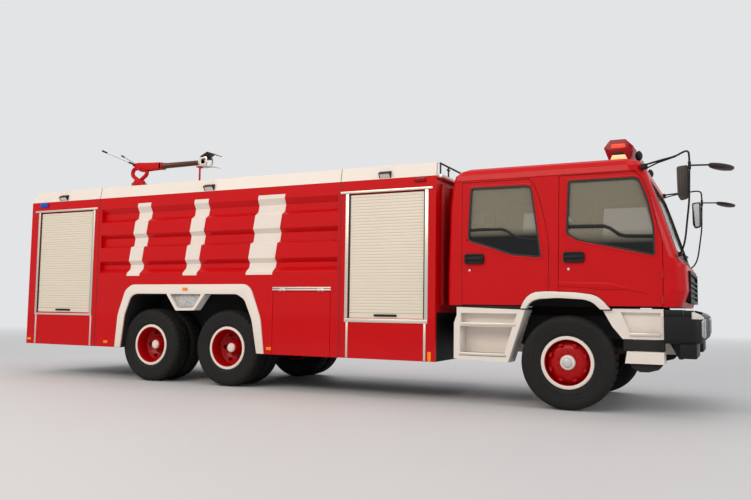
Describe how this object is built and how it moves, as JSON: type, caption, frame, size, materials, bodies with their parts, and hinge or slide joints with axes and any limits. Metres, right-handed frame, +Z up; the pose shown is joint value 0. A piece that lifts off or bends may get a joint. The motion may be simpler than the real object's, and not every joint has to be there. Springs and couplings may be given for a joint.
{
  "type": "foam fire truck",
  "caption": "Six-wheel foam fire truck with a tilting crew cab, ribbed tank body, shuttered lockers and a roof monitor.",
  "frame": {"origin": "on the ground under the middle of the overall length and width", "axes": "+X forward, +Y to the truck's left, +Z up"},
  "size_m": [10.3761, 3.1476, 3.8392],
  "materials": {
    "red_paint": "gloss",
    "white_paint": "gloss",
    "frame_paint": "satin",
    "black_plastic": "satin",
    "aluminium": "brushed",
    "shutter_slats": "satin",
    "tyre": "matte",
    "rim_paint": "gloss",
    "glass": "polished",
    "lamp_lens": "polished",
    "clear_lamp": "polished",
    "red_lens": "polished",
    "seat_cover": "woven",
    "cast_iron": "rough",
    "spring_steel": "painted"
  },
  "bodies": {
    "chassis": {"bumper": "frame_paint", "cab_steps": "white_paint", "chassis_frame": "frame_paint", "chassis_tanks": "frame_paint", "drive_shafts": "frame_paint", "engine": "cast_iron", "front_axle": "frame_paint", "front_locker": "red_paint", "front_rail": "frame_paint", "leaf_springs": "spring_steel", "monitor_base": "red_paint", "parapet": "white_paint", "rear_arches": "white_paint", "rear_axles": "frame_paint", "rear_ladder": "aluminium", "rear_locker": "red_paint", "roof_deck": "aluminium", "shutter_trim": "aluminium", "shutters": "shutter_slats", "signal_lamps": "lamp_lens", "step_treads": "aluminium", "tank_body": "red_paint", "work_lamps": "clear_lamp"},
    "cab": {"cab_shell": "red_paint", "cab_floor": "frame_paint", "cab_glass": "glass", "cab_arches": "white_paint", "cab_grille": "black_plastic", "cab_seats": "seat_cover", "dashboard": "black_plastic", "mirrors": "black_plastic", "lightbar": "red_lens"},
    "door_front_l": {"door_front_l": "red_paint", "door_glass_front_l": "glass"},
    "door_front_r": {"door_front_r": "red_paint", "door_glass_front_r": "glass"},
    "door_rear_l": {"door_rear_l": "red_paint", "door_glass_rear_l": "glass"},
    "door_rear_r": {"door_rear_r": "red_paint", "door_glass_rear_r": "glass"},
    "knuckle_l": {"knuckle_l": "cast_iron"},
    "wheel_front_l": {"tyre_front_l": "tyre", "rim_front_l": "rim_paint"},
    "wheels_rear_a_l": {"tyres_rear_a_l": "tyre", "rims_rear_a_l": "rim_paint"},
    "wheels_rear_b_l": {"tyres_rear_b_l": "tyre", "rims_rear_b_l": "rim_paint"},
    "flap_l": {"flap_l": "red_paint"},
    "knuckle_r": {"knuckle_r": "cast_iron"},
    "wheel_front_r": {"tyre_front_r": "tyre", "rim_front_r": "rim_paint"},
    "wheels_rear_a_r": {"tyres_rear_a_r": "tyre", "rims_rear_a_r": "rim_paint"},
    "wheels_rear_b_r": {"tyres_rear_b_r": "tyre", "rims_rear_b_r": "rim_paint"},
    "flap_r": {"flap_r": "red_paint"},
    "rear_hatch": {"rear_hatch": "red_paint"},
    "monitor_head": {"monitor_head": "red_paint"},
    "monitor_barrel": {"monitor_barrel": "red_paint"}
  },
  "joints": [
    {"name": "cab_tilt", "type": "hinge", "parent": "chassis", "child": "cab", "pos_m": [4.585, 0, 0.6], "axis": [0, 1, 0], "range_deg": [0, 40]},
    {"name": "door_front_l_open", "type": "hinge", "parent": "cab", "child": "door_front_l", "pos_m": [4.478, 1.208, 1.365], "axis": [0, 0, -1], "range_deg": [0, 70]},
    {"name": "door_front_r_open", "type": "hinge", "parent": "cab", "child": "door_front_r", "pos_m": [4.478, -1.208, 1.365], "axis": [0, 0, 1], "range_deg": [0, 70]},
    {"name": "door_rear_l_open", "type": "hinge", "parent": "cab", "child": "door_rear_l", "pos_m": [3.266, 1.208, 1.6], "axis": [0, 0, -1], "range_deg": [0, 70]},
    {"name": "door_rear_r_open", "type": "hinge", "parent": "cab", "child": "door_rear_r", "pos_m": [3.266, -1.208, 1.6], "axis": [0, 0, 1], "range_deg": [0, 70]},
    {"name": "steer_l", "type": "hinge", "parent": "chassis", "child": "knuckle_l", "pos_m": [3.465, 0.905, 0.525], "axis": [0, 0, 1], "range_deg": [-32, 32]},
    {"name": "steer_r", "type": "hinge", "parent": "chassis", "child": "knuckle_r", "pos_m": [3.465, -0.905, 0.525], "axis": [0, 0, 1], "range_deg": [-32, 32]},
    {"name": "spin_front_l", "type": "hinge", "parent": "knuckle_l", "child": "wheel_front_l", "pos_m": [3.465, 1.062, 0.525], "axis": [0, 1, 0], "continuous": true},
    {"name": "spin_front_r", "type": "hinge", "parent": "knuckle_r", "child": "wheel_front_r", "pos_m": [3.465, -1.062, 0.525], "axis": [0, 1, 0], "continuous": true},
    {"name": "spin_rear_a_l", "type": "hinge", "parent": "chassis", "child": "wheels_rear_a_l", "pos_m": [-1.185, 0.902, 0.525], "axis": [0, 1, 0], "continuous": true},
    {"name": "spin_rear_a_r", "type": "hinge", "parent": "chassis", "child": "wheels_rear_a_r", "pos_m": [-1.185, -0.902, 0.525], "axis": [0, 1, 0], "continuous": true},
    {"name": "spin_rear_b_l", "type": "hinge", "parent": "chassis", "child": "wheels_rear_b_l", "pos_m": [-2.555, 0.902, 0.525], "axis": [0, 1, 0], "continuous": true},
    {"name": "spin_rear_b_r", "type": "hinge", "parent": "chassis", "child": "wheels_rear_b_r", "pos_m": [-2.555, -0.902, 0.525], "axis": [0, 1, 0], "continuous": true},
    {"name": "flap_l_open", "type": "hinge", "parent": "chassis", "child": "flap_l", "pos_m": [0.0435, 1.258, 1.308], "axis": [1, 0, 0], "range_deg": [0, 85]},
    {"name": "flap_r_open", "type": "hinge", "parent": "chassis", "child": "flap_r", "pos_m": [0.0435, -1.258, 1.308], "axis": [-1, 0, 0], "range_deg": [0, 85]},
    {"name": "rear_hatch_open", "type": "hinge", "parent": "chassis", "child": "rear_hatch", "pos_m": [-5.086, 0, 2.477], "axis": [0, 1, 0], "range_deg": [0, 85]},
    {"name": "monitor_turn", "type": "hinge", "parent": "chassis", "child": "monitor_head", "pos_m": [-4.015, 0, 3.18], "axis": [0, 0, 1], "range_deg": [-170, 170]},
    {"name": "monitor_raise", "type": "hinge", "parent": "monitor_head", "child": "monitor_barrel", "pos_m": [-3.955, 0, 3.44], "axis": [0, -1, 0], "range_deg": [0, 50]}
  ],
  "couplings": [
    {"joint": "steer_r", "follows": "steer_l", "ratio": 1}
  ]
}
